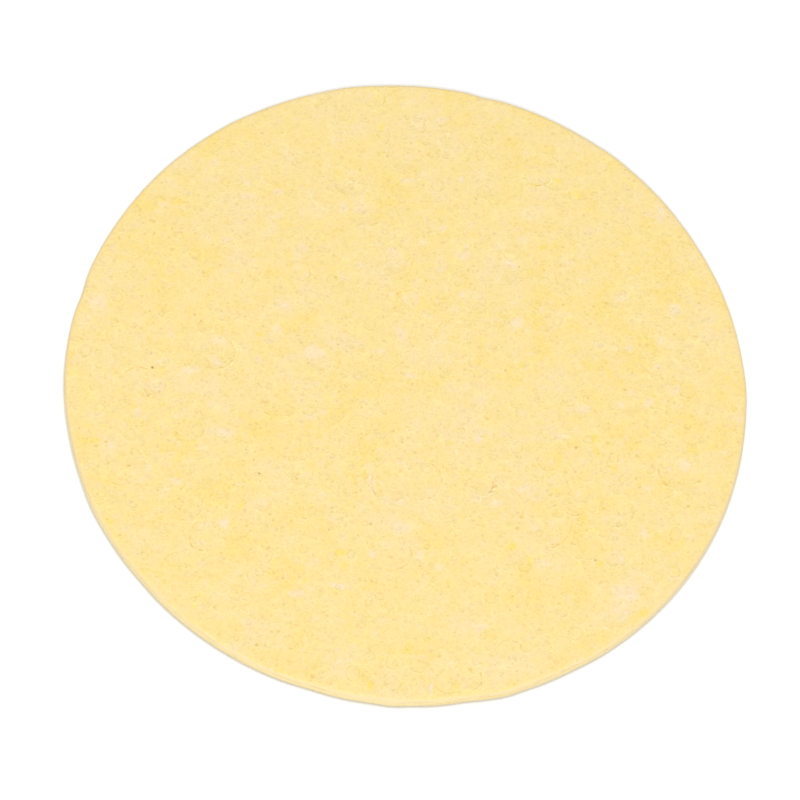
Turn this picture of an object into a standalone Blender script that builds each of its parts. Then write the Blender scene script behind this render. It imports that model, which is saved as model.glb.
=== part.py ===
# Compressed facial sponge: one round disc of cellulose foam, cut with a die and pressed flat.
# It lies on its flat underside. Units are metres, +Z is up, and the origin is the middle of the
# underside.
import math

import bpy

# The dry, pressed disc
DIAMETER = 0.068
THICKNESS = 0.0015
TOP_EDGE_RADIUS = 0.00042  # the die rolls the top edge over as it cuts
FOOT_EDGE_RADIUS = 0.0002
RIM_BELLY = 0.00007  # how far the cut foam stands out at half its height
RIM_STEPS = 120
EDGE_STEPS = 4
BELLY_STEPS = 4
MOST_EDGE_SHARE = 0.9  # the two edge radii together never take more of the thickness than this

# The largest bubbles of the foam, which the press leaves as shallow round dishes in the top face
LARGE_PORE = 0.0044
MEDIUM_PORE = 0.0032
SMALL_PORE = 0.0022
PORE_DEPTH = 0.0001
PORE_STEPS = 20
PORE_RINGS = 3
# Each place is a bearing from +X in degrees, and how far out to the edge the dish lies
LARGE_PLACES = ((-90, 0.335), (180, 0.62), (-5, 0.9), (99, 0.82))
MEDIUM_PLACES = ((114, 0.73), (-40, 0.97), (-135, 0.64), (-116, 0.47), (61, 0.53), (35, 0.75))
SMALL_PLACES = (
    (70, 0.84),
    (103, 0.42),
    (153, 0.24),
    (-43, 0.41),
    (-168, 0.77),
    (29, 0.89),
    (3, 0.54),
    (-69, 0.97),
)

# A fold where a bubble's wall was pressed over on itself
CREASE_LENGTH = 0.0036
CREASE_WIDTH = 0.0013
CREASE_DEPTH = 0.00016
CREASE_BEARING = 5.6
CREASE_REACH = 0.715
CREASE_TURN = 32

FOAM_COLOR = (0.96, 0.76, 0.36, 1)
FOAM_ROUGHNESS = 0.9
MERGE_WITHIN = 0.00001


def clear_scene():
    for obj in list(bpy.data.objects):
        bpy.data.objects.remove(obj, do_unlink=True)


def new_collection(name):
    made = bpy.data.collections.new(name)
    bpy.context.scene.collection.children.link(made)
    return made


def foam_material():
    made = bpy.data.materials.new("pressed_cellulose")
    made.use_nodes = True
    shader = made.node_tree.nodes["Principled BSDF"]
    shader.inputs["Base Color"].default_value = FOAM_COLOR
    shader.inputs["Roughness"].default_value = FOAM_ROUGHNESS
    shader.inputs["Metallic"].default_value = 0
    return made


def turned(name, profile, steps, collection):
    """A solid turned about Z from (radius, height) points that run from its top to its bottom."""
    mesh = bpy.data.meshes.new(name)
    points = [(radius, 0, height) for radius, height in profile]
    mesh.from_pydata(points, [(i, i + 1) for i in range(len(points) - 1)], [])
    made = bpy.data.objects.new(name, mesh)
    collection.objects.link(made)
    screw = made.modifiers.new("turn", "SCREW")
    screw.axis = "Z"
    screw.angle = math.tau
    screw.steps = steps
    screw.render_steps = steps
    screw.use_smooth_shade = True
    screw.use_merge_vertices = True
    screw.merge_threshold = MERGE_WITHIN
    return made


def disc_profile(top_edge, foot_edge):
    """The disc's section: flat faces, rounded edges and a wall that bellies out between them."""
    wall = DIAMETER / 2 - RIM_BELLY
    wall_top = THICKNESS - top_edge
    points = [(0, THICKNESS)]
    for i in range(EDGE_STEPS + 1):
        angle = math.pi / 2 * (1 - i / EDGE_STEPS)
        points.append((wall - top_edge * (1 - math.cos(angle)), wall_top + top_edge * math.sin(angle)))
    for i in range(1, BELLY_STEPS):
        share = i / BELLY_STEPS
        height = wall_top + (foot_edge - wall_top) * share
        points.append((wall + RIM_BELLY * math.sin(math.pi * share), height))
    for i in range(EDGE_STEPS + 1):
        angle = math.pi / 2 * i / EDGE_STEPS
        points.append((wall - foot_edge * (1 - math.cos(angle)), foot_edge * (1 - math.sin(angle))))
    points.append((0, 0))
    return points


def dish_cutter(name, width, depth, stretch, turn, bearing, reach, flat_radius, collection):
    """A turned bowl that cuts a dish of this width and depth in the top face.

    Its side is a parabola that goes on upwards, to stand as far above the face as it cuts below it.
    """
    mouth_radius = width / 2 * math.sqrt(2)
    points = [(0, depth), (mouth_radius, depth)]
    for i in range(1, PORE_RINGS + 1):
        share = 1 - i / PORE_RINGS
        points.append((mouth_radius * share, depth * (2 * share**2 - 1)))
    cutter = turned(name, points, PORE_STEPS, collection)
    way_out = reach * (flat_radius - width * stretch / 2)
    angle = math.radians(bearing)
    cutter.location = (way_out * math.cos(angle), way_out * math.sin(angle), THICKNESS)
    cutter.rotation_euler = (0, 0, math.radians(turn))
    cutter.scale = (stretch, 1, 1)
    cutter.hide_render = True
    cutter.display_type = "WIRE"
    return cutter


def pressed_sponge(parts, cutters):
    edge_share = min(1, MOST_EDGE_SHARE * THICKNESS / (TOP_EDGE_RADIUS + FOOT_EDGE_RADIUS))
    top_edge = TOP_EDGE_RADIUS * edge_share
    foot_edge = FOOT_EDGE_RADIUS * edge_share
    disc = turned("pressed_sponge", disc_profile(top_edge, foot_edge), RIM_STEPS, parts)
    disc.data.materials.append(foam_material())
    flat_radius = DIAMETER / 2 - RIM_BELLY - top_edge
    pores = (
        ("large", LARGE_PORE, LARGE_PLACES),
        ("medium", MEDIUM_PORE, MEDIUM_PLACES),
        ("small", SMALL_PORE, SMALL_PLACES),
    )
    for size_name, width, places in pores:
        for i, (bearing, reach) in enumerate(places, 1):
            name = f"{size_name}_pore_cutter_{i}"
            dish_cutter(name, width, PORE_DEPTH, 1, 0, bearing, reach, flat_radius, cutters)
    crease_stretch = CREASE_LENGTH / CREASE_WIDTH
    dish_cutter(
        "crease_cutter",
        CREASE_WIDTH,
        CREASE_DEPTH,
        crease_stretch,
        CREASE_TURN,
        CREASE_BEARING,
        CREASE_REACH,
        flat_radius,
        cutters,
    )
    cut = disc.modifiers.new("pressed_pores", "BOOLEAN")
    cut.operation = "DIFFERENCE"
    cut.solver = "EXACT"
    cut.operand_type = "COLLECTION"
    cut.collection = cutters
    return disc


clear_scene()
sponge_parts = new_collection("compressed_facial_sponge")
pore_cutters = new_collection("cutters")
pressed_sponge(sponge_parts, pore_cutters)
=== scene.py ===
import math
import random

import bmesh
import bpy
import numpy as np
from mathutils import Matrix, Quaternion
from mathutils import Vector
from mathutils import noise


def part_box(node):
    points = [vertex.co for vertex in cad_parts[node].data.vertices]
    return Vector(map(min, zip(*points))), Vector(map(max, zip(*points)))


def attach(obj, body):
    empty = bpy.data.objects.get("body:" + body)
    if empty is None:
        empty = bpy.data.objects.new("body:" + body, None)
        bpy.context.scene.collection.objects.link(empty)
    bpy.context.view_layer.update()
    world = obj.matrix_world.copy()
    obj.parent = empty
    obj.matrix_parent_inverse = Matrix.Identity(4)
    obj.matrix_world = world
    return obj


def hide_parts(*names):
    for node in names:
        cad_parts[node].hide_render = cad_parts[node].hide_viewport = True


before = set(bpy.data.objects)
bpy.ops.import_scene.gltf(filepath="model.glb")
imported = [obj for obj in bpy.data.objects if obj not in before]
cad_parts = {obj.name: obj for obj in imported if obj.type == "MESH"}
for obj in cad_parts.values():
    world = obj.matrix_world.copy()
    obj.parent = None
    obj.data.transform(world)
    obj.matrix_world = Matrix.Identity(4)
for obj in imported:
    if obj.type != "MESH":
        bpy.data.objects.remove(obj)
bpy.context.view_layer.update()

# The pressed sponge is one round of yellow cellulose foam. The foam is pressed to a thin card while
# it dries, which flattens its bubbles into shallow rings and dishes. A die then cuts the round,
# rolls its top edge over and leaves a wall of cut foam that bellies out a little.
MM = 0.001
sponge_low, sponge_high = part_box("pressed_sponge")
RADIUS = (sponge_high.x - sponge_low.x) / 2
THICKNESS = sponge_high.z - sponge_low.z
TOP_EDGE_RADIUS = 0.42 * MM
FOOT_EDGE_RADIUS = 0.2 * MM
RIM_BELLY = 0.07 * MM
WALL_TOP = THICKNESS - TOP_EDGE_RADIUS
TOP_CELLS = 240
FOOT_CELLS = TOP_CELLS // 2
TOP_EDGE_RINGS = 5
WALL_RINGS = 12
FOOT_EDGE_RINGS = 3
WELD_WITHIN = 0.001 * MM
AT_MIDDLE = 1e-9
CORNER_SPAN = 1e6


def rim_section():
    """(radius, height) of each ring from the edge of the top face down to the edge of the underside."""
    wall = RADIUS - RIM_BELLY
    rings = []
    for i in range(TOP_EDGE_RINGS + 1):
        angle = math.pi / 2 * (1 - i / TOP_EDGE_RINGS)
        drop = TOP_EDGE_RADIUS * (1 - math.cos(angle))
        rings.append((wall - drop, WALL_TOP + TOP_EDGE_RADIUS * math.sin(angle)))
    for i in range(1, WALL_RINGS):
        share = i / WALL_RINGS
        height = WALL_TOP + (FOOT_EDGE_RADIUS - WALL_TOP) * share
        rings.append((wall + RIM_BELLY * math.sin(math.pi * share), height))
    for i in range(FOOT_EDGE_RINGS + 1):
        angle = math.pi / 2 * i / FOOT_EDGE_RINGS
        drop = FOOT_EDGE_RADIUS * (1 - math.cos(angle))
        rings.append((wall - drop, FOOT_EDGE_RADIUS * (1 - math.sin(angle))))
    return rings


def round_face(bm, cells, radius, height):
    """A face of square rings of cells, each ring pushed out to a circle."""
    grid = bmesh.ops.create_grid(bm, x_segments=cells, y_segments=cells, size=1)["verts"]
    for vert in grid:
        x, y = vert.co.x, vert.co.y
        ring = max(abs(x), abs(y))
        if ring < AT_MIDDLE:
            vert.co = (0, 0, height)
            continue
        if abs(x) >= abs(y):
            angle = math.pi / 4 * y / x + (math.pi if x < 0 else 0)
        else:
            angle = math.pi / 2 - math.pi / 4 * x / y + (math.pi if y < 0 else 0)
        vert.co = (ring * radius * math.cos(angle), ring * radius * math.sin(angle), height)
    return grid


def corner_order(element):
    """A number of its own for each edge or face, from its corners, so that each run sorts them alike."""
    corners = [vert.index for vert in element.verts]
    return min(corners) * CORNER_SPAN + sum(corners)


def cut_round():
    """The smooth round as the die leaves it, before the bubbles are pressed into it."""
    bm = bmesh.new()
    rings = rim_section()
    round_face(bm, TOP_CELLS, rings[0][0], rings[0][1])
    edge = [e for e in bm.edges if e.is_boundary]
    for radius, height in rings[1:]:
        made = bmesh.ops.extrude_edge_only(bm, edges=edge)["geom"]
        ring = {g for g in made if isinstance(g, bmesh.types.BMVert)}
        edge = [g for g in made if isinstance(g, bmesh.types.BMEdge) and set(g.verts) <= ring]
        for vert in ring:
            out = radius / math.hypot(vert.co.x, vert.co.y)
            vert.co = (vert.co.x * out, vert.co.y * out, height)
    foot = set(round_face(bm, FOOT_CELLS, rings[-1][0], rings[-1][1]))
    foot_edge = [e for e in bm.edges if e.is_boundary and e.verts[0] in foot]
    halves = bmesh.ops.subdivide_edges(bm, edges=foot_edge, cuts=1)["geom_inner"]
    for vert in halves:
        if isinstance(vert, bmesh.types.BMVert):
            out = rings[-1][0] / math.hypot(vert.co.x, vert.co.y)
            vert.co = (vert.co.x * out, vert.co.y * out, rings[-1][1])
    bmesh.ops.remove_doubles(bm, verts=[v for v in bm.verts if v.is_boundary], dist=WELD_WITHIN)
    bmesh.ops.recalc_face_normals(bm, faces=bm.faces)
    bm.verts.index_update()
    bm.edges.sort(key=corner_order)
    bm.faces.sort(key=corner_order)
    mesh = bpy.data.meshes.new("pressed_sponge_disc")
    bm.to_mesh(mesh)
    bm.free()
    mesh.shade_smooth()
    return mesh


# The bubbles that show most on the face. Each is the place of its middle in mm, its width, its length
# and the turn of its long way, how deep it is pressed in, how pale its floor is, and how dark the
# painted shade in the fold round it is, darkest on the side of this bearing, where the painted highlight
# on its lip is lightest too.
CLEAR_BUBBLES = (
    (0.1, -10.6, 3.9, 4.6, 90, 0.085, 0.0, 0.7, 215),
    (-19.6, -0.1, 4.0, 4.4, 0, 0.085, 0.25, 0.8, 5),
    (28.2, -4.0, 4.0, 4.3, 0, 0.07, 0.2, 0.8, -135),
    (-3.5, 13.3, 3.8, 4.2, 90, 0.04, 0.0, 0.7, 0),
    (-3.9, 25.3, 3.4, 4.6, 0, 0.07, 0.35, 0.5, 180),
    (-9.4, 21.4, 3.2, 3.6, 0, 0.075, 0.2, 0.35, -60),
    (24.1, -20.3, 3.2, 3.6, 20, 0.075, 0.7, 0.25, 45),
    (-14.5, -14.4, 3.0, 3.2, 40, 0.06, 0.0, 0.3, 160),
    (-6.7, -14.0, 3.4, 3.8, 0, 0.06, 0.15, 0.6, 95),
    (8.2, 14.7, 2.9, 3.3, 110, 0.06, 0.1, 0.3, -20),
    (9.3, 27.6, 3.2, 3.4, 0, 0.05, 0.0, 0.3, 120),
    (-10.4, -22.6, 3.8, 4.0, 0, 0.05, 0.0, 0.35, 190),
    (22.6, -9.5, 3.2, 3.6, 30, 0.05, 0.1, 0.7, -50),
    (-7.2, 18.3, 3.2, 3.4, 0, 0.05, 0.0, 0.6, -95),
    (-6.2, 3.9, 3.0, 3.4, 0, 0.07, 0.3, 0.75, 235),
    (19.5, 13.8, 2.2, 2.6, 20, 0.06, 0.1, 0.35, 0),
    (9.2, 25.6, 1.8, 2.6, 0, 0.08, 0.45, 0.9, -90),
    (-3.3, 13.4, 2.3, 2.6, 90, 0.08, 0.4, 0.45, -60),
    (9.2, -9.2, 2.0, 2.3, 90, 0.085, 0.1, 1.0, 0),
    (-24.5, -5.1, 2.0, 2.4, 0, 0.075, 0.1, 0.5, 200),
    (25.2, 13.8, 2.0, 2.2, 0, 0.07, 0.35, 0.5, 60),
    (17.4, 0.9, 2.0, 2.2, 0, 0.07, 0.15, 0.3, -60),
    (11.3, -30.0, 2.1, 2.4, 90, 0.08, 0.0, 1.0, 20),
    (26.1, 11.2, 1.7, 1.9, 0, 0.06, -0.1, 0.5, 90),
    (-8.6, 31.3, 2.2, 2.4, 0, 0.07, 0.1, 0.9, -50),
    (-3.5, 28.9, 1.4, 1.5, 0, 0.06, 0.2, 0.6, 30),
    (4.5, -13.8, 1.8, 2.0, 0, 0.06, 0.5, 0.4, 180),
    (-15.9, -26.7, 1.9, 2.1, 0, 0.06, -0.5, 0.5, -90),
    (-11.9, -15.5, 1.6, 1.8, 0, 0.06, 0.2, 0.8, -70),
    (-20.9, 2.5, 1.4, 1.6, 0, 0.06, -0.2, 1.0, 140),
    (-20.8, -1.6, 1.8, 2.2, 0, 0.06, 0.0, 0.6, 20),
    (18.8, -8.4, 1.7, 1.9, 0, 0.06, 0.35, 0.5, 10),
    (-12.5, 10.2, 1.9, 2.1, 0, 0.06, 0.4, 0.6, 0),
    (-9.2, 1.1, 2.7, 2.9, 0, 0.06, 0.1, 0.6, 20),
    (-9.7, -11.3, 1.5, 1.7, 0, 0.06, 0.4, 0.6, -30),
    (-20.8, -13.2, 2.8, 3.2, 0, 0.05, 0.25, 0.4, 150),
)
# Marks of the foam's skin: place in mm, length, width, turn, and how pale (or golden, below 0)
SKIN_MARKS = (
    (-9.7, 1.7, 2.0, 1.4, 0, 1.4),
    (-17.0, -8.7, 2.6, 1.3, 10, 1.0),
    (2.0, -15.3, 1.7, 1.3, -20, 0.9),
    (-1.5, 5.5, 1.7, 1.0, -60, 1.2),
    (9.7, 9.1, 1.8, 1.4, 35, 0.95),
    (-31.6, 2.7, 2.6, 2.0, -35, 0.95),
    (-21.6, -2.6, 2.6, 0.8, 10, 0.8),
    (32.9, 2.9, 1.4, 1.3, 0, 0.8),
    (-11.7, -31.0, 2.9, 0.8, 35, 0.7),
    (7.6, -31.9, 2.2, 0.4, 95, 1.2),
    (7.8, -4.4, 0.8, 0.7, 0, 0.9),
    (0.1, 1.1, 0.9, 0.8, 0, 1.4),
    (-27.7, -12.3, 0.8, 0.8, 0, 1.0),
    (12.9, -8.9, 1.2, 0.8, 45, 1.05),
    (21.3, 2.1, 0.9, 1.0, 0, 0.7),
    (23.9, 2.8, 1.6, 0.8, 60, 1.0),
    (21.9, 3.6, 1.8, 0.8, 0, 0.7),
    (-16.4, 18.7, 1.0, 0.9, 0, 1.4),
    (-7.2, -24.5, 1.8, 0.8, 20, 0.9),
    (-20.7, -14.9, 1.2, 1.0, 0, 0.9),
    (17.8, 1.0, 1.5, 1.0, 0, 0.85),
    (-13.4, 6.4, 0.9, 0.8, 0, 0.85),
    (24.9, -18.2, 2.4, 2.0, 0, 1.1),
    (3.0, 15.2, 1.0, 0.9, 0, 1.2),
    (-3.4, -22.9, 1.3, 0.7, 0, 0.95),
    (-0.3, -18.7, 1.2, 1.0, -30, 0.85),
    (-13.8, 3.8, 1.0, 0.9, 0, 0.8),
    (11.4, -24.5, 1.5, 0.8, 50, 1.2),
    (-19.5, 19.1, 0.9, 0.8, 0, 0.8),
    (6.3, -18.9, 1.2, 1.1, 0, 0.95),
    (-1.0, 16.1, 1.0, 1.0, 0, 1.1),
    (-19.2, -1.1, 1.3, 0.7, -60, 0.85),
    (-3.6, 22.6, 1.8, 0.6, 15, 0.85),
    (21.3, 8.5, 1.2, 1.0, 0, 0.75),
    (0.6, -12.9, 3.2, 0.8, -5, 0.75),
    (-1.9, -10.6, 3.2, 0.7, 105, 0.65),
    (8.0, 15.5, 1.2, 1.0, 0, 0.8),
    (16.1, -16.6, 1.8, 1.5, 0, 1.1),
    (19.5, 14.0, 2.0, 1.3, 10, 0.8),
    (-1.5, 30.2, 1.0, 0.9, 0, 1.1),
    (8.6, 18.3, 1.0, 0.9, 0, 0.8),
    (16.1, -2.4, 1.2, 1.1, 0, 0.75),
    (0.7, 17.9, 0.9, 0.8, 0, 1.0),
    (-6.6, 12.1, 1.0, 0.8, 0, 0.75),
    (10.4, -3.4, 0.9, 0.8, 0, 1.2),
    (25.1, 13.5, 1.4, 1.1, 0, 0.75),
    (3.7, 11.0, 0.9, 0.8, 0, 0.5),
    (25.3, -6.3, 0.9, 0.9, 0, 1.1),
    (-11.1, -28.5, 1.4, 1.1, 45, 0.75),
    (-24.1, 0.8, 0.9, 0.8, 0, 0.75),
    (10.8, -11.0, 0.9, 0.9, 0, 0.75),
    (-9.5, 18.3, 1.3, 0.8, 90, 0.75),
    (28.3, -3.1, 1.8, 1.1, 110, 0.4),
    (-5.7, -20.7, 1.1, 1.0, 0, 0.7),
    (18.3, -4.6, 2.2, 0.7, -45, 0.75),
    (15.3, -5.2, 2.2, 1.3, 20, 0.25),
    (-3.8, 14.4, 1.1, 0.9, 0, 0.7),
    (-3.3, 3.1, 0.8, 0.8, 0, 0.7),
    (-8.9, -1.6, 0.9, 0.8, 0, 0.7),
    (1.6, -4.0, 0.9, 0.8, 0, 0.7),
    (-15.8, 16.0, 1.4, 0.5, 45, 0.8),
    (25.7, -11.4, 1.0, 0.9, 0, 0.75),
    (-8.6, -5.3, 0.9, 0.9, 0, 0.9),
    (4.2, -18.0, 1.0, 1.0, 0, 0.7),
    (-21.4, -10.8, 1.5, 0.8, 90, 0.3),
    (-27.3, 15.0, 1.4, 0.6, 0, 1.2),
    (26.3, 4.8, 1.2, 1.0, 0, 0.75),
    (32.4, -1.0, 1.0, 0.8, 60, 0.6),
    (-0.7, 11.3, 2.0, 1.4, 90, 0.6),
    (0.6, 12.7, 1.4, 1.2, 0, 0.5),
    (3.3, 9.1, 1.3, 1.1, 0, 0.6),
    (-8.0, 18.4, 1.3, 0.9, 0, 0.55),
    (-19.0, 1.1, 1.6, 1.2, 0, 0.55),
    (-24.6, -5.1, 1.8, 1.6, 0, 0.6),
    (-15.0, 0.0, 1.0, 1.2, 0, 0.6),
    (-25.7, -8.5, 0.9, 1.6, 0, 0.7),
    (-21.8, -7.7, 1.3, 1.0, 0, 0.65),
    (1.7, -32.4, 1.2, 0.7, 95, -1.0),
    (-5.8, 17.8, 1.2, 1.8, 0, -0.6),
    (13.1, -15.2, 1.2, 0.8, 0, -1.0),
    (-26.0, 15.7, 0.9, 0.8, 0, -0.9),
    (4.9, -28.0, 1.7, 1.3, 0, -0.7),
    (27.0, -19.7, 1.5, 1.0, 30, -0.7),
    (-29.9, -12.2, 1.6, 0.8, 10, -0.7),
    (-26.3, -20.3, 0.9, 0.9, 0, -0.7),
    (-16.5, -27.7, 0.8, 0.6, 0, -0.8),
    (19.6, -10.8, 0.9, 0.8, 60, -0.9),
    (18.5, -9.9, 1.1, 0.5, -50, -0.8),
    (21.7, -5.0, 0.9, 0.9, 0, -0.85),
    (14.9, -16.3, 0.9, 0.7, 90, -0.95),
    (10.9, 17.9, 0.8, 0.7, 0, -0.85),
    (-19.7, -10.8, 0.8, 1.6, 0, -0.75),
    (-15.4, 2.6, 0.8, 0.7, 0, -1.2),
    (29.4, -1.4, 1.2, 0.8, 0, -0.85),
    (-9.7, -22.8, 1.1, 1.2, 0, -0.5),
    (19.1, -2.1, 0.8, 0.8, 0, -0.8),
    (16.2, -8.4, 0.8, 0.8, 0, -0.8),
    (-6.5, -22.8, 0.6, 0.9, 0, -1.2),
    (-2.9, -20.7, 0.6, 1.9, 0, -0.5),
    (-3.4, -19.2, 1.4, 0.8, 0, -1.1),
    (4.9, -5.4, 1.4, 0.7, 0, -0.75),
    (21.9, -15.4, 1.2, 0.9, 0, -0.95),
    (11.4, 25.6, 1.0, 0.5, 0, -0.85),
    (9.2, 24.7, 2.0, 0.5, 0, -0.5),
    (19.7, -3.6, 1.2, 0.7, -40, -0.7),
    (10.8, 4.4, 0.7, 0.7, 0, -1.0),
    (-14.0, -16.2, 0.7, 1.2, 0, -0.8),
    (-13.2, -14.9, 0.7, 0.6, 0, -1.1),
    (-22.6, -11.9, 0.7, 0.7, 0, -0.7),
    (12.7, -25.3, 1.2, 0.7, 0, -0.4),
    (-7.2, 28.2, 0.5, 1.4, 0, -0.7),
    (-12.7, 15.2, 1.4, 3.0, 0, -0.35),
    (26.3, 1.3, 2.6, 0.7, 0, -0.4),
    (-22.0, 8.3, 2.2, 1.3, 0, -0.15),
)
# Open pores that stayed as dots, golden in the foam's own colour and darkened brown as painted shade:
# place in mm, radius, and how dark (golden brown at 0)
DOTS = (
    (-25.2, -3.1, 0.14, 1.0),
    (-12.8, -12.4, 0.12, 0.9),
    (27.4, 14.9, 0.15, 0.2),
    (-9.9, -30.5, 0.16, 0.3),
    (21.3, -15.1, 0.15, 0.4),
    (-1.1, -15.6, 0.15, 0.3),
    (-27.6, -14.2, 0.15, 0.12),
    (-27.7, 11.6, 0.15, 0.12),
    (30.2, -4.6, 0.17, 0.12),
    (9.4, 3.6, 0.14, 0.2),
    (29.5, -7.5, 0.17, 0.12),
    (-11.2, 2.6, 0.15, 0.12),
    (10.4, -9.1, 0.17, 0.2),
    (-28.2, -12.0, 0.14, 0.2),
    (-15.2, 3.6, 0.14, 0.12),
    (-22.3, -16.1, 0.14, 0.1),
    (21.2, 22.4, 0.15, 0.12),
    (18.2, 13.0, 0.15, 0.16),
    (23.7, -3.1, 0.16, 0.12),
    (-22.1, 3.5, 0.14, 0.1),
    (-8.8, -16.8, 0.15, 0.12),
    (17.6, -3.4, 0.17, 0.4),
    (-19.8, -17.7, 0.14, 0.1),
    (-14.6, -27.4, 0.17, 0.07),
    (15.8, -9.0, 0.14, 0.07),
    (13.0, 16.3, 0.14, 0.1),
    (17.0, -23.5, 0.17, 0.05),
    (20.6, -2.3, 0.14, 0.07),
    (-8.7, -28.8, 0.14, 0.07),
    (-4.0, -32.8, 0.24, 0.1),
    (11.0, -29.0, 0.22, 0.07),
    (7.8, -28.2, 0.2, 0.07),
    (13.2, -13.2, 0.19, 0.07),
    (13.4, -11.9, 0.22, 0.03),
    (5.7, 29.4, 0.19, 0.03),
)
DOT_REACH = 0.9
# How pale or golden marks fade away between these shares of the way from their middle to their edge
SKIN_SIDE = (0.3, 1.65)
# The long gouge at the right, where a bubble's wall was pressed over on itself, in mm and degrees,
# with its side and the low lip round it at shares of the way from its middle to its edge
CREASE_PLACE = (22.6, 2.2)
CREASE_LENGTH = 3.6
CREASE_WIDTH = 1.3
CREASE_TURN = 32
CREASE_DEPTH = 0.14
CREASE_SIDE = (0.2, 1.0)
CREASE_LIP = 1.35
CREASE_LIP_SPREAD = 0.3
CREASE_LIP_HEIGHT = 0.02
# A bubble changes the points up to this share of its length away from its middle
BUBBLE_REACH = 0.9
# The form of every bubble: where its side, its floor's tint and its lip lie, as shares of the way
# from its middle to its edge, and the lip's height as a share of the bubble's depth
DISH_SIDE = (0.45, 1.0)
TINT_SIDE = (0.55, 1.0)
LIP_PLACE = 1.1
LIP_SPREAD = 0.13
LIP_HEIGHT = 0.3
# How much of the lip's painted highlight and of the fold's painted shade is left on the side away from
# the fold's bearing, and how far from the bubble's edge in mm they reach
LEAST_LIP = 0.55
LEAST_FOLD = 0.08
FOLD_BESIDE = 0.34
# The way to a fold in mm that a point with no bubble near it gets
FAR_AWAY = 5.0
# The smaller bubbles, which lie at random
TOP_SEED = 11
FOOT_SEED = 23
TOP_BUBBLES = 420
FOOT_BUBBLES = 260
FACE_EDGE_MARGIN = 0.9
LEAST_BUBBLE_RADIUS = 0.35
MOST_BUBBLE_RADIUS = 2.3
SMALLNESS = 2.8
MOST_STRETCH = 1.35
RANDOM_DEPTH = (0.012, 0.03)
LEAST_DEPTH_GAIN = 0.55
DEPTH_GAIN_PER_MM = 0.35
MOST_DEPTH_GAIN = 1.3
RANDOM_TINT = (-0.5, 0.9)
FULL_TINT_WIDTH = 1.6
MOST_RANDOM_FOLD = 0.65
# The low waves of both faces, in mm, and the noise that makes them
WRINKLE_LENGTH = 1.1
WRINKLE_DEPTH = 0.006
SAG_LENGTH = 9.0
SAG_DEPTH = 0.012
SEED_STEPS = (17.3, 7.9, 3.1)
WAVE_SOFTNESS = 0.7
FINER_BY = 2.1
WAVE_OCTAVES = 3


def smooth(value, low, high):
    """0 up to low, 1 from high on, and a soft rise between them."""
    share = np.clip((value - low) / (high - low), 0, 1)
    return share * share * (3 - 2 * share)


def near(points, middle_x, middle_y, reach):
    """Indices of the points within a square of this half width, in mm."""
    x_near = np.abs(points[:, 0] - middle_x) < reach
    return np.nonzero(x_near & (np.abs(points[:, 1] - middle_y) < reach))[0]


def round_share(points, middle_x, middle_y, length, width, turn):
    """How far each point lies from the middle of an oval, where 1 is its edge."""
    angle = math.radians(turn)
    away_x = points[:, 0] - middle_x
    away_y = points[:, 1] - middle_y
    along = away_x * math.cos(angle) + away_y * math.sin(angle)
    across = away_y * math.cos(angle) - away_x * math.sin(angle)
    return np.hypot(along * 2 / length, across * 2 / width)


def press_bubble(points, face, bubble):
    """Adds one flattened bubble: its dish and low lip, and marks for the painted shade in the fold and
    the painted highlight on the lips round it.
    """
    x, y, width, length, turn, depth, floor_tint, fold, fold_bearing = bubble
    found = near(points, x, y, length * BUBBLE_REACH)
    share = round_share(points[found], x, y, length, width, turn)
    dish = 1 - smooth(share, *DISH_SIDE)
    lip = np.exp(-(((share - LIP_PLACE) / LIP_SPREAD) ** 2))
    face["height"][found] += depth * (LIP_HEIGHT * lip - dish)
    face["pale"][found] += floor_tint * (1 - smooth(share, *TINT_SIDE))
    away = (share - 1) * math.sqrt(length * width) / 2
    bearing = np.arctan2(points[found, 1] - y, points[found, 0] - x)
    side = 0.5 + 0.5 * np.cos(bearing - math.radians(fold_bearing))
    nearer = (away < 0) | (away < np.abs(face["fold_away"][found]))
    face["fold_away"][found[nearer]] = away[nearer]
    beside = fold * (1 - smooth(np.abs(away[nearer]), FOLD_BESIDE, 2 * FOLD_BESIDE))
    face["lip"][found[nearer]] = beside * (LEAST_LIP + (1 - LEAST_LIP) * side[nearer])
    face["fold"][found[nearer]] = beside * (LEAST_FOLD + (1 - LEAST_FOLD) * side[nearer] ** 2)


def waves(points, length, seed):
    """Soft noise whose waves are about this long, at each of the points."""
    offset = Vector([seed * step for step in SEED_STEPS])
    places = [Vector(p) / length + offset for p in points]
    return np.array([noise.fractal(p, WAVE_SOFTNESS, FINER_BY, WAVE_OCTAVES) for p in places])


def random_bubbles(count, seed):
    """Bubbles spread evenly over a face, most of them small, in the form of the clear ones."""
    draw = random.Random(seed)
    face = RADIUS / MM - FACE_EDGE_MARGIN
    more = MOST_BUBBLE_RADIUS - LEAST_BUBBLE_RADIUS
    bubbles = []
    for _ in range(count):
        reach = face * math.sqrt(draw.random())
        bearing = draw.uniform(0, math.tau)
        width = 2 * (LEAST_BUBBLE_RADIUS + more * draw.random() ** SMALLNESS)
        length = width * draw.uniform(1.0, MOST_STRETCH)
        turn = draw.uniform(0, 180)
        depth_gain = min(MOST_DEPTH_GAIN, LEAST_DEPTH_GAIN + DEPTH_GAIN_PER_MM * width)
        depth = draw.uniform(*RANDOM_DEPTH) * depth_gain
        floor_tint = draw.uniform(*RANDOM_TINT) * draw.random() * min(1, FULL_TINT_WIDTH / width)
        fold = MOST_RANDOM_FOLD * draw.random()
        x = reach * math.cos(bearing)
        y = reach * math.sin(bearing)
        bubbles.append((x, y, width, length, turn, depth, floor_tint, fold, draw.uniform(0, 360)))
    return bubbles


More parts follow.
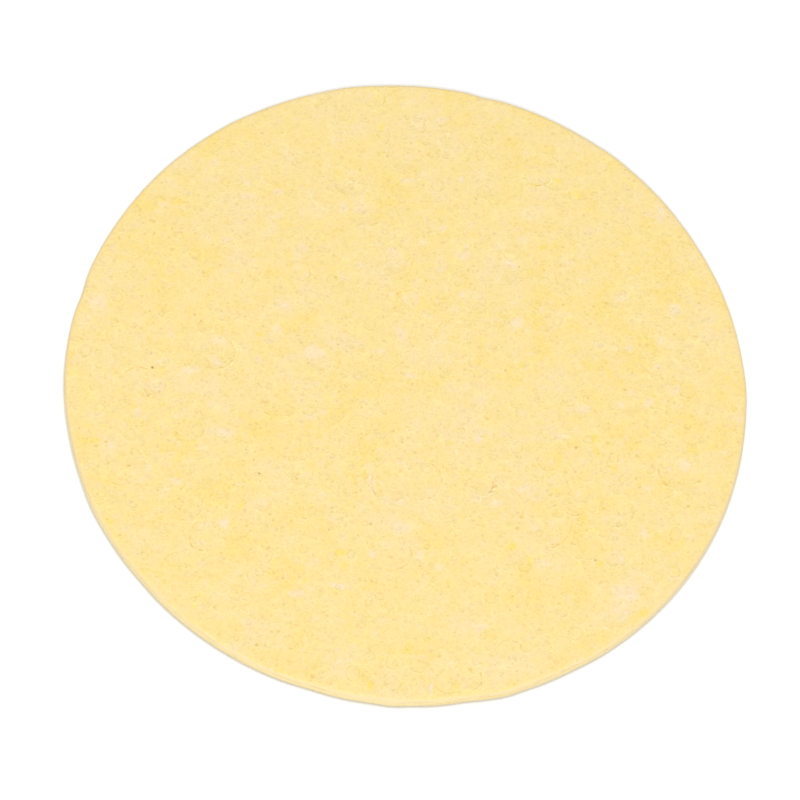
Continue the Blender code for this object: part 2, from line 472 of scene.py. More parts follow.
def mark_dots(points, face):
    """Gives each point the way from the nearest dot to it in mm, that dot's radius and darkness."""
    nearest = np.full(len(points), DOT_REACH)
    for x, y, radius, darkness in DOTS:
        away = np.hypot(points[:, 0] - x, points[:, 1] - y)
        found = np.nonzero(away < nearest)[0]
        nearest[found] = away[found]
        face["dot"][found, 0] = points[found, 0] - x
        face["dot"][found, 1] = points[found, 1] - y
        face["dot"][found, 2] = radius
        face["dot_shade"][found] = darkness


def pressed_face(points, bubbles, seed):
    """The heights in mm of the points of one face, with its bubbles pressed in, their tints, and the
    marks for the painted shade of their folds and the painted highlight of their lips.
    """
    count = len(points)
    face = {name: np.zeros(count) for name in ("height", "pale", "lip", "fold", "dot_shade")}
    face["fold_away"] = np.full(count, FAR_AWAY)
    face["dot"] = np.zeros((count, 3))
    for bubble in sorted(bubbles, key=lambda bubble: -bubble[2]):
        press_bubble(points, face, bubble)
    face["height"] += WRINKLE_DEPTH * waves(points, WRINKLE_LENGTH, seed)
    face["height"] += SAG_DEPTH * waves(points, SAG_LENGTH, seed + 1)
    return face


def mark_top(points, face):
    """Adds the skin marks, the dots and the long gouge, which only the top face has."""
    for x, y, length, width, turn, strength in SKIN_MARKS:
        share = round_share(points, x, y, length, width, turn)
        face["pale"] += strength * (1 - smooth(share, *SKIN_SIDE))
    share = round_share(points, *CREASE_PLACE, CREASE_LENGTH, CREASE_WIDTH, CREASE_TURN)
    lip = np.exp(-(((share - CREASE_LIP) / CREASE_LIP_SPREAD) ** 2))
    face["height"] -= CREASE_DEPTH * (1 - smooth(share, *CREASE_SIDE))
    face["height"] += CREASE_LIP_HEIGHT * lip
    mark_dots(points, face)


# What the die leaves at the rim: the bearing in degrees, how wide the mark is, and how far the
# edge stands out there, in mm
RIM_MARKS = (
    (11, 5, 0.1),
    (-52, 4, -0.07),
    (-64, 2.5, 0.11),
    (-71, 2.5, -0.12),
    (-83, 2.5, 0.12),
    (-97, 4, -0.09),
    (-131, 4, -0.07),
    (-146, 4, 0.1),
    (-169, 6, 0.1),
    (173.5, 3, -0.19),
    (158, 9, -0.06),
    (131, 3, 0.04),
    (110, 4, 0.09),
    (86, 2, -0.14),
    (61, 3, 0.06),
    (40, 8, -0.09),
)
# The slits of cut bubbles in the wall, in mm, but for their place and their ends, which are shares of
# the thickness and of half their length
SLITS = 150
SLIT_SEED = 5
SLIT_PLACE = (0.12, 0.9)
SLIT_LENGTH = (0.8, 4.5)
SLIT_DEPTH = (0.03, 0.09)
SLIT_HALF_HEIGHT = 0.055
SLIT_LEAN = 0.04
SLIT_END = (0.5, 1.0)
# A slit this deep in mm gets the full painted shade
DARKEST_SLIT = 0.07
# The rough grain of the wall, in mm
GRAIN_DEPTH = 0.022
GRAIN_SIZE = 0.55
GRAIN_FLATNESS = 2.2
GRAIN_SOFTNESS = 0.8
# How the top face, the pale edge (lighter partly as painted light), the cut wall and the outline's marks
# pass into one another, in mm
TOP_BAND = 0.02
CREAM_AND_LIT_EDGE_BAND = (0.17, 0.01)
CUT_BAND = (0.15, 0.1)
RIM_BAND = (3, 0.3)


def cut_wall(points):
    """How far the outline stands out at each point in mm, how deep its slits are, and its grain."""
    bearing = np.degrees(np.arctan2(points[:, 1], points[:, 0]))
    out = np.zeros(len(points))
    for middle, spread, stand in RIM_MARKS:
        away = (bearing - middle + 180) % 360 - 180
        out += stand * np.exp(-((away / spread) ** 2))
    draw = random.Random(SLIT_SEED)
    slit = np.zeros(len(points))
    for _ in range(SLITS):
        middle = draw.uniform(-180, 180)
        half = math.degrees(draw.uniform(*SLIT_LENGTH) / 2 / (RADIUS / MM))
        height = draw.uniform(*SLIT_PLACE) * THICKNESS / MM
        lean = draw.uniform(-SLIT_LEAN, SLIT_LEAN)
        depth = draw.uniform(*SLIT_DEPTH)
        away = (bearing - middle + 180) % 360 - 180
        line = height + lean * away / half
        long_way = 1 - smooth(np.abs(away) / half, *SLIT_END)
        slit += depth * long_way * np.exp(-(((points[:, 2] - line) / SLIT_HALF_HEIGHT) ** 2))
    places = [Vector((p[0], p[1], p[2] * GRAIN_FLATNESS)) / GRAIN_SIZE for p in points]
    grain = np.array([noise.fractal(p, GRAIN_SOFTNESS, FINER_BY, WAVE_OCTAVES) for p in places])
    return out, slit, grain


def finish_round(mesh):
    """Presses the bubbles into both faces of the round and roughens its cut wall."""
    count = len(mesh.vertices)
    flat = np.empty(count * 3)
    mesh.vertices.foreach_get("co", flat)
    points = flat.reshape(-1, 3) / MM
    z = points[:, 2].copy()
    top_z = THICKNESS / MM
    wall_z = WALL_TOP / MM
    on_top = smooth(z, wall_z, top_z - TOP_BAND)
    on_foot = 1 - smooth(z, 0.0, FOOT_EDGE_RADIUS / MM)
    marks = {name: np.zeros(count) for name in ("pale", "lip", "fold", "dot_shade", "slit")}
    marks["fold_away"] = np.full(count, FAR_AWAY)
    marks["dot"] = np.zeros((count, 3))
    # The edge and cut marks bring the rim's cream, partly the foam's own colour and partly painted light
    marks["cut"] = (1 - smooth(z, wall_z - CUT_BAND[0], wall_z + CUT_BAND[1])) * (1 - on_foot)
    marks["edge"] = (1 - smooth(z, top_z - CREAM_AND_LIT_EDGE_BAND[0], top_z - CREAM_AND_LIT_EDGE_BAND[1])) * (1 - on_foot)

    top = np.nonzero(on_top > 0)[0]
    top_bubbles = random_bubbles(TOP_BUBBLES, TOP_SEED) + list(CLEAR_BUBBLES)
    face = pressed_face(points[top], top_bubbles, TOP_SEED)
    mark_top(points[top], face)
    points[top, 2] += (face["height"] - face["height"].max()) * on_top[top]
    for name in ("pale", "lip", "fold", "fold_away", "dot", "dot_shade"):
        marks[name][top] = face[name]

    foot = np.nonzero(on_foot > 0)[0]
    face = pressed_face(points[foot], random_bubbles(FOOT_BUBBLES, FOOT_SEED), FOOT_SEED)
    points[foot, 2] -= (face["height"] - face["height"].max()) * on_foot[foot]
    for name in ("pale", "lip", "fold", "fold_away"):
        marks[name][foot] = face[name]

    reach = np.hypot(points[:, 0], points[:, 1])
    rim_band = (RADIUS / MM - RIM_BAND[0], RADIUS / MM - RIM_BAND[1])
    rim = np.nonzero(reach > rim_band[0])[0]
    stand, slit, grain = cut_wall(points[rim])
    in_from_edge = smooth(reach[rim], *rim_band)
    wall = (1 - on_top[rim]) * (1 - on_foot[rim])
    out = stand * in_from_edge + (GRAIN_DEPTH * grain - slit) * wall
    share = 1 + out / reach[rim]
    points[rim, 0] *= share
    points[rim, 1] *= share
    # The slit mark holds how much painted shade each slit gets from its depth
    marks["slit"][rim] = np.clip(slit / DARKEST_SLIT, 0, 1) * wall
    mesh.vertices.foreach_set("co", (points * MM).ravel())
    mesh.update()

    for name, values in marks.items():
        if values.ndim == 1:
            layer = mesh.attributes.new(name, "FLOAT", "POINT")
            layer.data.foreach_set("value", values.astype(np.float32))
        else:
            layer = mesh.attributes.new(name, "FLOAT_VECTOR", "POINT")
            layer.data.foreach_set("vector", values.astype(np.float32).ravel())


sponge_mesh = cut_round()
finish_round(sponge_mesh)
sponge = bpy.data.objects.new("pressed_sponge_disc", sponge_mesh)
bpy.context.scene.collection.objects.link(sponge)
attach(sponge, "root")
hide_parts("pressed_sponge")

# The foam's finish: clouds of colour, pale skin, golden spots, and rings, folds and pores with painted
# highlight and painted shade
BODY_YELLOW = (0.967, 0.739, 0.318, 1)
DEEP_YELLOW = (0.964, 0.725, 0.257, 1)
CREAM_YELLOW = (0.966, 0.74, 0.374, 1)
PALE_SKIN = (0.965, 0.768, 0.53, 1)
ROSE_SKIN = (0.965, 0.742, 0.47, 1)
BLUSH_SKIN = (0.955, 0.725, 0.435, 1)
GOLD_SPOT = (0.965, 0.72, 0.155, 1)
DOT_GOLD = (0.93, 0.66, 0.2, 1)
DOT_PORE_SHADE = (0.3, 0.16, 0.06, 1)
EDGE_CREAM_AND_LIGHT = (0.955, 0.76, 0.445, 1)
WALL_CREAM_AND_LIGHT = (0.97, 0.81, 0.43, 1)
SLIT_SHADE = (0.8, 0.6, 0.25, 1)
# By how much each fine mark lightens or darkens the colour that it crosses: painted highlight on ridges
# and lips, painted shade in hollows, folds and pin holes
RIDGE_HIGHLIGHT = (1.045, 1.15, 1.185, 1)
HOLLOW_SHADE = (0.92, 0.895, 0.815, 1)
RED_FOLD_SHADE = (0.88, 0.6, 0.42, 1)
GOLD_FOLD_SHADE = (0.9, 0.8, 0.56, 1)
PORE_SHADE = (0.67, 0.58, 0.28, 1)
# The middle level of every noise, and the roughness of the ragged ones
MIDDLE_LEVEL = 0.5
RAGGED = 0.6

foam = bpy.data.materials.new("pressed_cellulose")
foam.use_nodes = True
foam_tree = foam.node_tree


def foam_node(kind, settings=None, inputs=None, tree=foam_tree):
    """Adds a node with these settings, and links each input or gives it its value."""
    made = tree.nodes.new("ShaderNode" + kind)
    for name, value in (settings or {}).items():
        setattr(made, name, value)
    for name, value in (inputs or {}).items():
        if isinstance(value, bpy.types.NodeSocket):
            tree.links.new(value, made.inputs[name])
        else:
            made.inputs[name].default_value = value
    return made


def foam_sum(operation, first, second=0.0, tree=foam_tree):
    """One step of arithmetic."""
    return foam_node("Math", {"operation": operation}, {0: first, 1: second}, tree).outputs[0]


def foam_ramp(value, low, high, start=0.0, end=1.0, tree=foam_tree):
    """Turns low..high smoothly into start..end."""
    inputs = {"Value": value, "From Min": low, "From Max": high, "To Min": start, "To Max": end}
    return foam_node("MapRange", {"interpolation_type": "SMOOTHSTEP"}, inputs, tree).outputs[0]


def foam_mix(share, first, second, strength=1.0):
    """Goes from the first colour to the second by this share of the strength."""
    share = foam_sum("MULTIPLY", share, strength)
    return foam_node("Mix", {"data_type": "RGBA"}, {0: share, 6: first, 7: second}).outputs[2]


def foam_shade(share, colour, gain, strength):
    """Lightens or darkens a colour by this gain where the share is 1."""
    share = foam_sum("MULTIPLY", share, strength)
    settings = {"data_type": "RGBA", "blend_type": "MULTIPLY"}
    return foam_node("Mix", settings, {0: share, 6: colour, 7: gain}).outputs[2]


def foam_noise(size_mm, octaves=2.0, roughness=0.5, distortion=0.0):
    """Noise whose largest marks are about this size."""
    inputs = {
        "Vector": foam_place,
        "Scale": 1 / (size_mm * MM),
        "Detail": octaves,
        "Roughness": roughness,
        "Distortion": distortion,
    }
    return foam_node("TexNoise", None, inputs).outputs["Fac"]


def foam_mark(name, output="Fac"):
    """One of the marks that the mesh carries."""
    return foam_node("Attribute", {"attribute_name": name}).outputs[output]


foam_place = foam_node("TexCoord").outputs["Object"]

# Soft clouds of deep, plain and creamy yellow with a faint blush. Sizes are in mm from here on, and a
# pair of levels holds where a noise's mark starts and where it is full.
CLOUD_SIZE = 4.5
CLOUD_OCTAVES = 4.0
CLOUD_ROUGHNESS = 0.72
DEEP_LEVELS = (0.34, 0.5)
CREAM_LEVELS = (0.5, 0.66)
BLUSH_SIZE = 0.9
BLUSH_BEND = 0.3
BLUSH_LEVELS = (0.52, 0.7)
BLUSH_STRENGTH = 0.2
clouds = foam_noise(CLOUD_SIZE, CLOUD_OCTAVES, CLOUD_ROUGHNESS)
foam_colour = foam_mix(foam_ramp(clouds, *DEEP_LEVELS), DEEP_YELLOW, BODY_YELLOW)
foam_colour = foam_mix(foam_ramp(clouds, *CREAM_LEVELS), foam_colour, CREAM_YELLOW)
blush = foam_ramp(foam_noise(BLUSH_SIZE, roughness=RAGGED, distortion=BLUSH_BEND), *BLUSH_LEVELS)
foam_colour = foam_mix(blush, foam_colour, BLUSH_SKIN, BLUSH_STRENGTH)

# The small bubbles and cells lie in places that a noise bends, so that few of them are quite round
BEND_SIZE = 1.2
BEND_REACH = 0.75
LEVEL_BEND = 0.2
LEAST_RING = 0.2
FOLD_INSIDE = 1.5
DARK_FLOORS = (0.5, 1.0)
PALE_FLOORS = (0.6, 1.0)


def foam_vector(operation, first, second, input_name=1):
    return foam_node("VectorMath", {"operation": operation}, {0: first, input_name: second}).outputs[0]


bend_inputs = {"Vector": foam_place, "Scale": 1 / (BEND_SIZE * MM), "Detail": 1.0}
bend = foam_node("TexNoise", None, bend_inputs).outputs["Color"]
bend = foam_vector("SUBTRACT", bend, (MIDDLE_LEVEL, MIDDLE_LEVEL, MIDDLE_LEVEL))
bent_place = foam_vector("ADD", foam_place, foam_vector("SCALE", bend, BEND_REACH * MM, "Scale"))


def curled_ridges(size_mm, half_width):
    """Fine curled lines where a noise crosses its middle level: 1 on a line, and the noise itself."""
    level = foam_noise(size_mm, octaves=1.0, distortion=LEVEL_BEND)
    off = foam_sum("ABSOLUTE", foam_sum("SUBTRACT", level, MIDDLE_LEVEL))
    return foam_ramp(off, 0.0, half_width, 1.0, 0.0), level


def small_rings(cell_mm, least_mm, most_mm, half_width_mm):
    """Small bubbles, one in each cell: 1 on the lip of its ring, and 1 in the fold inside the lip."""
    inputs = {"Vector": bent_place, "Scale": 1 / (cell_mm * MM)}
    cells = foam_node("TexVoronoi", None, inputs)
    chance = foam_node("SeparateColor", None, {0: cells.outputs["Color"]})
    radius = foam_ramp(chance.outputs[0], 0.0, 1.0, least_mm / cell_mm, most_mm / cell_mm)
    strength = foam_ramp(chance.outputs[1], 0.0, 1.0, LEAST_RING, 1.0)
    half_width = half_width_mm / cell_mm
    beyond = foam_sum("SUBTRACT", cells.outputs["Distance"], radius)
    lip = foam_ramp(foam_sum("ABSOLUTE", beyond), 0.0, half_width, 1.0, 0.0)
    inside = foam_sum("ABSOLUTE", foam_sum("ADD", beyond, FOLD_INSIDE * half_width))
    fold = foam_ramp(inside, 0.0, half_width, 1.0, 0.0)
    return foam_sum("MULTIPLY", lip, strength), foam_sum("MULTIPLY", fold, strength)


def small_cells(cell_mm, wall_mm):
    """A net of flattened cells: 1 on a wall, and how dark and how pale each cell's floor is."""
    inputs = {"Vector": bent_place, "Scale": 1 / (cell_mm * MM)}
    away = foam_node("TexVoronoi", {"feature": "DISTANCE_TO_EDGE"}, inputs).outputs["Distance"]
    cells = foam_node("TexVoronoi", None, inputs)
    chance = foam_node("SeparateColor", None, {0: cells.outputs["Color"]})
    floor = foam_ramp(away, 0.0, wall_mm / cell_mm)
    wall = foam_ramp(away, 0.0, wall_mm / cell_mm, 1.0, 0.0)
    dark = foam_sum("MULTIPLY", floor, foam_ramp(chance.outputs[0], *DARK_FLOORS))
    pale = foam_sum("MULTIPLY", floor, foam_ramp(chance.outputs[1], *PALE_FLOORS))
    return wall, dark, pale


WIDE_CELL = 1.15
CELL_WALL = 0.13
WIDE_PALE_STRENGTH = 0.14
WIDE_DARK_STRENGTH = 0.2
wide_walls, wide_dark, wide_pale = small_cells(WIDE_CELL, CELL_WALL)
foam_colour = foam_mix(wide_pale, foam_colour, BLUSH_SKIN, WIDE_PALE_STRENGTH)
foam_colour = foam_mix(wide_dark, foam_colour, DEEP_YELLOW, WIDE_DARK_STRENGTH)

# The pale and golden marks of the mesh, with ragged edges
RAGGED_SIZE = 0.9
RAGGED_REACH = 2.1
ROSE_SIZE = 2.0
ROSE_LEVELS = (0.42, 0.58)
PALE_TINTS = (0.0, 1.4)
GOLD_TINTS = (-0.15, -1.2)
TINT_STRENGTH = 0.85
ragged = foam_sum("SUBTRACT", foam_noise(RAGGED_SIZE, roughness=RAGGED), MIDDLE_LEVEL)
tint = foam_sum("ADD", foam_mark("pale"), foam_sum("MULTIPLY", ragged, RAGGED_REACH))
skin = foam_mix(foam_ramp(foam_noise(ROSE_SIZE, octaves=1.0), *ROSE_LEVELS), PALE_SKIN, ROSE_SKIN)
foam_colour = foam_mix(foam_ramp(tint, *PALE_TINTS), foam_colour, skin, TINT_STRENGTH)
foam_colour = foam_mix(foam_ramp(tint, *GOLD_TINTS), foam_colour, GOLD_SPOT, TINT_STRENGTH)

# The random rings, cell walls and curled lines between the clear bubbles. A set of rings holds the
# size of its cells, the least and most radius of a ring, and half the width of its lip.
CURL_SIZE = 0.6
CURL_HALF_WIDTH = 0.05
CURL_SHARE = 0.5
HOLLOW_LEVELS = (0.58, 0.74)
BREAK_SIZE = 1.6
BREAK_LEVELS = (0.42, 0.6)
WIDE_RINGS = (2.1, 0.4, 1.0, 0.12)
MIDDLE_RINGS = (1.2, 0.2, 0.55, 0.1)
FINE_CELL = 0.5
FINE_CELL_SHARE = 0.55
HOLLOW_STRENGTH = 0.3
FINE_DARK_STRENGTH = 0.25
RING_FOLD_STRENGTH = 0.4
RIDGE_STRENGTH = 0.7
curls, curl_level = curled_ridges(CURL_SIZE, CURL_HALF_WIDTH)
broken = foam_ramp(foam_noise(BREAK_SIZE, octaves=1.0), *BREAK_LEVELS)
wide_lips, wide_folds = small_rings(*WIDE_RINGS)
middle_lips, middle_folds = small_rings(*MIDDLE_RINGS)
fine_walls, fine_dark, _ = small_cells(FINE_CELL, CELL_WALL)
ridges = foam_sum("MULTIPLY", curls, CURL_SHARE)
ridges = foam_sum("MAXIMUM", ridges, foam_sum("MULTIPLY", wide_walls, broken))
ridges = foam_sum("MAXIMUM", ridges, foam_sum("MULTIPLY", fine_walls, FINE_CELL_SHARE))
ridges = foam_sum("MAXIMUM", ridges, foam_sum("MAXIMUM", wide_lips, middle_lips))
ring_folds = foam_sum("MAXIMUM", wide_folds, middle_folds)
hollows = foam_ramp(curl_level, *HOLLOW_LEVELS)
# Painted shade: the hollows between the curled ridges and the folds inside the small rings are darkened,
# and the fine cells' floors are darkened at random with the same tint
foam_colour = foam_shade(hollows, foam_colour, HOLLOW_SHADE, HOLLOW_STRENGTH)
foam_colour = foam_shade(fine_dark, foam_colour, HOLLOW_SHADE, FINE_DARK_STRENGTH)
foam_colour = foam_shade(ring_folds, foam_colour, HOLLOW_SHADE, RING_FOLD_STRENGTH)
# Painted highlight: the curled ridges, the cell walls and the lips of the small rings are lightened
foam_colour = foam_shade(ridges, foam_colour, RIDGE_HIGHLIGHT, RIDGE_STRENGTH)

# The fold and the two lips round each bubble of the mesh: the fold is darkened as painted shade and the
# lips are lightened as painted highlight. They waver and break up along their length, and a fold's
# painted shade is reddish or golden by chance. Each line holds how far out from the bubble's edge it
# lies, half its width, and its strength.
WAVER_SIZE = 0.8
WAVER_REACH = 0.35
FOLD_BREAK_SIZE = 0.7
FOLD_BREAK_LEVELS = (0.44, 0.6)
FOLD_LEFT = 0.12
FOLD_LINE = (-0.06, 0.14, 1.0)
LIP_LINE = (0.14, 0.15, 1.0)
OUTER_LIP_LINE = (0.46, 0.13, 0.7)
RED_SIZE = 3.0
RED_LEVELS = (0.46, 0.58)
LIP_STRENGTH = 1.0
FOLD_SHADE_STRENGTH = 0.65
waver = foam_sum("SUBTRACT", foam_noise(WAVER_SIZE, octaves=1.0), MIDDLE_LEVEL)
fold_away = foam_sum("ADD", foam_mark("fold_away"), foam_sum("MULTIPLY", waver, WAVER_REACH))


def fold_line(place, half_width, strength):
    """A soft line beside a bubble's edge: this strength at its middle."""
    off = foam_sum("ABSOLUTE", foam_sum("SUBTRACT", fold_away, place))
    return foam_ramp(off, 0.0, half_width, strength, 0.0)


fold_noise = foam_noise(FOLD_BREAK_SIZE, roughness=RAGGED)
fold_broken = foam_ramp(fold_noise, *FOLD_BREAK_LEVELS, FOLD_LEFT, 1.0)
fold_share = foam_sum("MULTIPLY", foam_mark("fold"), fold_broken)
lip_share = foam_sum("MULTIPLY", foam_mark("lip"), fold_broken)
folds = foam_sum("MULTIPLY", fold_line(*FOLD_LINE), fold_share)
lip_lines = foam_sum("MAXIMUM", fold_line(*LIP_LINE), fold_line(*OUTER_LIP_LINE))
lips = foam_sum("MULTIPLY", lip_lines, lip_share)
# Painted highlight: the lips round each bubble are lightened
foam_colour = foam_shade(lips, foam_colour, RIDGE_HIGHLIGHT, LIP_STRENGTH)
red_share = foam_ramp(foam_noise(RED_SIZE, octaves=1.0), *RED_LEVELS)
fold_gain = foam_mix(red_share, GOLD_FOLD_SHADE, RED_FOLD_SHADE)
# Painted shade: the fold beside each bubble is darkened, most on the side of its bearing
foam_colour = foam_shade(folds, foam_colour, fold_gain, FOLD_SHADE_STRENGTH)

# Pin holes, darkened as painted shade. A set of pores holds the size of its cells, the least and most
# radius of a pore, and the share of the cells that have one.
WIDE_PORES = (1.9, 0.14, 0.26, 0.3)
FINE_PORES = (0.5, 0.1, 0.17, 0.42)
WIDE_PORE_SHARE = 0.7
PORE_SIDE = (1.0, 0.3)
LEAST_PORE = 0.2
PORE_STRENGTH = 0.24


def pin_pores(cell_mm, least_mm, most_mm, share):
    """Pin holes, one in a share of the cells, each of its own size: 1 at a hole's middle."""
    cells = foam_node("TexVoronoi", None, {"Vector": foam_place, "Scale": 1 / (cell_mm * MM)})
    chance = foam_node("SeparateColor", None, {0: cells.outputs["Color"]})
    radius = foam_ramp(chance.outputs[0], 1 - share, 1.0, least_mm / cell_mm, most_mm / cell_mm)
    inside = foam_sum("DIVIDE", cells.outputs["Distance"], radius)
    chosen = foam_sum("GREATER_THAN", chance.outputs[0], 1 - share)
    hole = foam_sum("MULTIPLY", foam_ramp(inside, *PORE_SIDE), chosen)
    return foam_sum("MULTIPLY", hole, foam_ramp(chance.outputs[1], 0.0, 1.0, LEAST_PORE, 1.0))


wide_pores = foam_sum("MULTIPLY", pin_pores(*WIDE_PORES), WIDE_PORE_SHARE)
pores = foam_sum("MAXIMUM", pin_pores(*FINE_PORES), wide_pores)
foam_colour = foam_shade(pores, foam_colour, PORE_SHADE, PORE_STRENGTH)

# The dots, golden in the foam's own colour and darkened brown by painted shade where the pore is open,
# which fade over a band across their edge. A point with no dot near it has no radius.
DOT_BAND = (-0.1, 0.06)
DOT_RADIUS_LEVELS = (0.0, 0.14)
DOT_STRENGTH = 0.75
dot_from = foam_node("SeparateXYZ", None, {0: foam_mark("dot", "Vector")})
dot_way = foam_node("CombineXYZ", None, {0: dot_from.outputs[0], 1: dot_from.outputs[1]}).outputs[0]
dot_away = foam_node("VectorMath", {"operation": "LENGTH"}, {0: dot_way}).outputs["Value"]
dot_off = foam_sum("SUBTRACT", dot_away, dot_from.outputs[2])
has_dot = foam_ramp(dot_from.outputs[2], *DOT_RADIUS_LEVELS)
dots = foam_sum("MULTIPLY", foam_ramp(dot_off, *DOT_BAND, 1.0, 0.0), has_dot)
dot_colour = foam_mix(foam_mark("dot_shade"), DOT_GOLD, DOT_PORE_SHADE)
foam_colour = foam_mix(dots, foam_colour, dot_colour, DOT_STRENGTH)

# The rolled edge and the cut wall, cream partly in the cut foam's own colour and partly as painted
# light, and the slits in the wall, darkened as painted shade
RIM_STRENGTH = 0.85
SLIT_SHADE_STRENGTH = 0.6
foam_colour = foam_mix(foam_mark("edge"), foam_colour, EDGE_CREAM_AND_LIGHT, RIM_STRENGTH)
foam_colour = foam_mix(foam_mark("cut"), foam_colour, WALL_CREAM_AND_LIGHT, RIM_STRENGTH)
# Painted shade: the slits in the wall are darkened
foam_colour = foam_mix(foam_mark("slit"), foam_colour, SLIT_SHADE, SLIT_SHADE_STRENGTH)

# The relief of the fine marks: its height in mm, and what share of it each kind of mark has
RELIEF_HEIGHT = 0.027
RIDGE_RELIEF = 0.9
HOLLOW_RELIEF = 0.6
LIP_RELIEF = 1.2
FOAM_ROUGHNESS = 0.9
FOAM_GLOSS = 0.2
foam_height = foam_sum("MULTIPLY", foam_sum("MAXIMUM", pores, dots), -1.0)
foam_height = foam_sum("ADD", foam_height, foam_sum("MULTIPLY", ridges, RIDGE_RELIEF))
foam_height = foam_sum("SUBTRACT", foam_height, foam_sum("MULTIPLY", hollows, HOLLOW_RELIEF))
foam_height = foam_sum("SUBTRACT", foam_height, foam_sum("MULTIPLY", ring_folds, HOLLOW_RELIEF))
lip_relief = foam_sum("MULTIPLY", foam_sum("SUBTRACT", lips, folds), LIP_RELIEF)
foam_height = foam_sum("ADD", foam_height, lip_relief)
bump_inputs = {"Strength": 1.0, "Distance": RELIEF_HEIGHT * MM, "Height": foam_height}
foam_bump = foam_node("Bump", None, bump_inputs)

foam_shader = foam_tree.nodes["Principled BSDF"]
foam_shader.inputs["Roughness"].default_value = FOAM_ROUGHNESS
foam_shader.inputs["Specular IOR Level"].default_value = FOAM_GLOSS
foam_tree.links.new(foam_colour, foam_shader.inputs["Base Color"])
foam_tree.links.new(foam_bump.outputs[0], foam_shader.inputs["Normal"])
sponge_mesh.materials.append(foam)

# The floor is a plain white studio table, wide enough to fill every view. It shows white to the camera
# but for the thin line of shadow where the sponge lies on it, which an AO node also paints into the
# floor's colour and glow as painted shadow.
FLOOR_HALF = 3.0
FLOOR_DROP = 0.01 * MM
FLOOR_WHITE = 0.8
FLOOR_LIFT = 0.3
CONTACT_REACH = 0.36 * MM
CONTACT_POWER = 1.7
CONTACT_SAMPLES = 8
CONTACT_LEAST = 0.5
FLOOR_CONTACT_SHADOW = 0.64
floor_bm = bmesh.new()
bmesh.ops.create_grid(floor_bm, x_segments=1, y_segments=1, size=FLOOR_HALF)
bmesh.ops.translate(floor_bm, verts=floor_bm.verts, vec=(0, 0, -FLOOR_DROP))
floor_mesh = bpy.data.meshes.new("studio_floor")
floor_bm.to_mesh(floor_mesh)
floor_bm.free()
floor = bpy.data.objects.new("studio_floor", floor_mesh)
bpy.context.scene.collection.objects.link(floor)
floor_paint = bpy.data.materials.new("floor_white")
floor_paint.use_nodes = True
floor_tree = floor_paint.node_tree
floor_tree.nodes.remove(floor_tree.nodes["Principled BSDF"])
floor_ray = foam_node("LightPath", None, None, floor_tree)
contact_settings = {"samples": CONTACT_SAMPLES}
contact = foam_node("AmbientOcclusion", contact_settings, {"Distance": CONTACT_REACH}, floor_tree)
floor_open = contact.outputs["AO"]
# Painted shadow: the AO node darkens the floor's colour and its glow near the sponge
floor_colour = foam_ramp(floor_open, CONTACT_LEAST, 1.0, FLOOR_CONTACT_SHADOW, FLOOR_WHITE, floor_tree)
floor_matt = foam_node("BsdfDiffuse", None, {"Color": floor_colour}, floor_tree)
floor_lift = foam_sum("POWER", floor_open, CONTACT_POWER, floor_tree)
floor_lift = foam_sum("MULTIPLY", floor_lift, FLOOR_LIFT, floor_tree)
floor_lift = foam_sum("MULTIPLY", floor_ray.outputs["Is Camera Ray"], floor_lift, floor_tree)
floor_glow = foam_node("Emission", None, {"Strength": floor_lift}, floor_tree)
floor_parts = {0: floor_matt.outputs[0], 1: floor_glow.outputs[0]}
floor_both = foam_node("AddShader", None, floor_parts, floor_tree)
floor_tree.links.new(floor_both.outputs[0], floor_tree.nodes["Material Output"].inputs["Surface"])
floor_mesh.materials.append(floor_paint)

# The studio light is a white tent, which gives most of the light, and one soft lamp in front, which
# brings out the bubbles.
TENT_LIGHT = 0.72
LAMP_WATTS = 3.74
LAMP_SIZE = 0.2
LAMP_AWAY = 1.0
LAMP_FROM = (0.0, -0.7, 1.0)
studio = bpy.data.worlds.new("studio")
bpy.context.scene.world = studio
studio.use_nodes = True
studio_tree = studio.node_tree
tent = studio_tree.nodes["Background"]
tent.inputs["Color"].default_value = (1, 1, 1, 1)
studio_ray = foam_node("LightPath", None, None, studio_tree).outputs
seen = foam_sum("MAXIMUM", studio_ray["Is Camera Ray"], studio_ray["Is Glossy Ray"], studio_tree)
seen = foam_sum("MAXIMUM", seen, studio_ray["Is Transmission Ray"], studio_tree)
tent_strength = foam_ramp(seen, 0.0, 1.0, TENT_LIGHT, 1.0, studio_tree)
studio_tree.links.new(tent_strength, tent.inputs["Strength"])
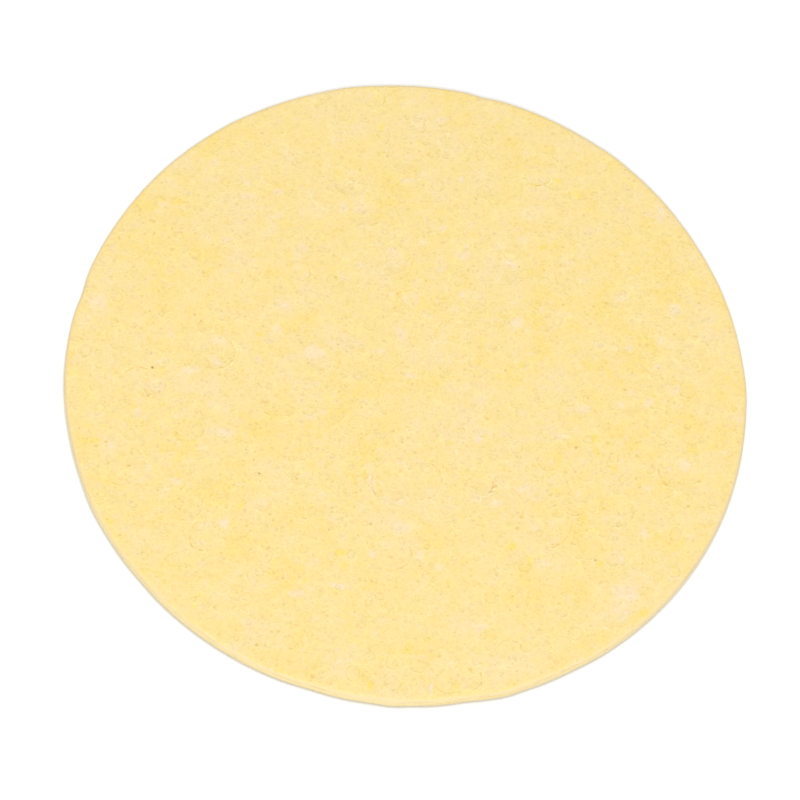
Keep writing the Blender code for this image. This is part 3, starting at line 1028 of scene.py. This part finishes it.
lamp_data = bpy.data.lights.new("soft_lamp", "AREA")
lamp_data.shape = "DISK"
lamp_data.size = LAMP_SIZE
lamp_data.energy = LAMP_WATTS
lamp = bpy.data.objects.new("soft_lamp", lamp_data)
bpy.context.scene.collection.objects.link(lamp)
lamp_from = Vector(LAMP_FROM).normalized()
lamp.location = lamp_from * LAMP_AWAY
lamp.rotation_mode = "QUATERNION"
lamp.rotation_quaternion = (-lamp_from).to_track_quat("-Z", "Y")

# The camera looks down on the sponge from the front with a long lens, and is rolled a little. The
# middle of the underside lies at the named place of the picture, in pixels from its left and top.
CAMERA_RISE = math.radians(64.35)
CAMERA_ROLL = math.radians(10.34)
CAMERA_AWAY = 0.6
PIXELS_PER_METRE = 10030
PICTURE_PX = 800
MIDDLE_X_PX = 405.55
MIDDLE_Y_PX = 391.0
HALF_PIXEL = 0.5
SENSOR_MM = 36
NEAREST = 0.05
FARTHEST = 10
camera_data = bpy.data.cameras.new("camera")
camera_data.sensor_width = SENSOR_MM
camera_data.lens = PIXELS_PER_METRE * CAMERA_AWAY * camera_data.sensor_width / PICTURE_PX
camera_data.clip_start = NEAREST
camera_data.clip_end = FARTHEST
camera = bpy.data.objects.new("camera", camera_data)
bpy.context.scene.collection.objects.link(camera)
camera_back = Vector((0, -math.cos(CAMERA_RISE), math.sin(CAMERA_RISE)))
camera_turn = (-camera_back).to_track_quat("-Z", "Y") @ Quaternion((0, 0, 1), CAMERA_ROLL)
camera_right = camera_turn @ Vector((1, 0, 0))
camera_up = camera_turn @ Vector((0, 1, 0))
camera.rotation_mode = "QUATERNION"
camera.rotation_quaternion = camera_turn
camera.location = (
    camera_back * CAMERA_AWAY
    - camera_right * (MIDDLE_X_PX - PICTURE_PX / 2 + HALF_PIXEL) / PIXELS_PER_METRE
    - camera_up * (PICTURE_PX / 2 - HALF_PIXEL - MIDDLE_Y_PX) / PIXELS_PER_METRE
)
bpy.context.scene.camera = camera
bpy.context.scene.view_settings.view_transform = "Standard"
